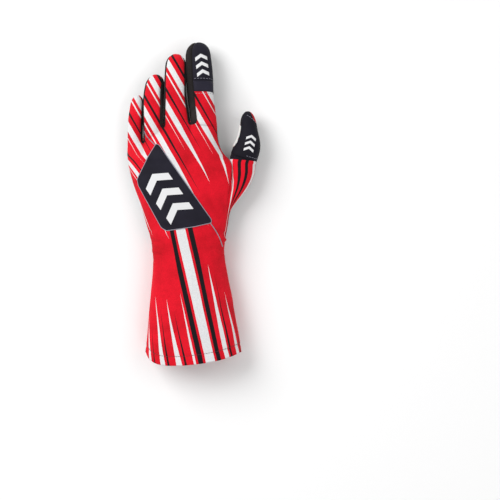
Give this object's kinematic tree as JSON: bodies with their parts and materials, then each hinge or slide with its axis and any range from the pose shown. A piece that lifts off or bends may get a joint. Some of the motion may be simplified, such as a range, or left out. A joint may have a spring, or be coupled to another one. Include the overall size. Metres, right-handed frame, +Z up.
{
  "type": "karting glove",
  "caption": "Left-hand karting glove with a long flared cuff, printed red cloth back, dark badge and fingertip panels, and a black suede palm with raised pale grips, lying on its palm.",
  "frame": {"origin": "middle of the underside, at the height of the surface the glove lies on", "axes": "+Y from the cuff to the fingertips, +X to the thumb side, +Z up out of the back of the hand"},
  "size_m": [0.1238, 0.3006, 0.0379],
  "materials": {
    "red_cloth": "matt stretch knit with printed white and black stripes",
    "black_suede": "matt synthetic suede",
    "navy_cloth": "matt",
    "badge_film": "satin film",
    "white_silicone": "satin silicone print"
  },
  "bodies": {
    "root": {"cuff_top": "red_cloth", "back_panel": "red_cloth", "little_back": "red_cloth", "ring_back": "red_cloth", "middle_back": "red_cloth", "index_back": "red_cloth", "thumb_back": "red_cloth", "cuff_underside": "red_cloth", "hem_facing": "red_cloth", "palm_panel": "black_suede", "sidewall_little_ring": "black_suede", "sidewall_ring_middle": "black_suede", "sidewall_middle_index": "black_suede", "index_cap": "navy_cloth", "index_band": "navy_cloth", "thumb_cap": "navy_cloth", "badge": "badge_film", "knuckle_grip_outer": "white_silicone", "knuckle_grip_inner": "white_silicone", "middle_grip": "white_silicone", "thumb_mount_grip": "white_silicone", "heel_grip_outer": "white_silicone", "heel_grip_inner": "white_silicone", "little_pad": "white_silicone", "little_bar_1": "white_silicone", "little_bar_2": "white_silicone", "little_bar_3": "white_silicone", "ring_pad": "white_silicone", "ring_bar_1": "white_silicone", "ring_bar_2": "white_silicone", "ring_bar_3": "white_silicone", "middle_pad": "white_silicone", "middle_bar_1": "white_silicone", "middle_bar_2": "white_silicone", "middle_bar_3": "white_silicone", "index_pad": "white_silicone", "index_bar_1": "white_silicone", "index_bar_2": "white_silicone", "index_bar_3": "white_silicone", "thumb_pad": "white_silicone", "thumb_bar_1": "white_silicone", "thumb_bar_2": "white_silicone"}
  },
  "joints": []
}
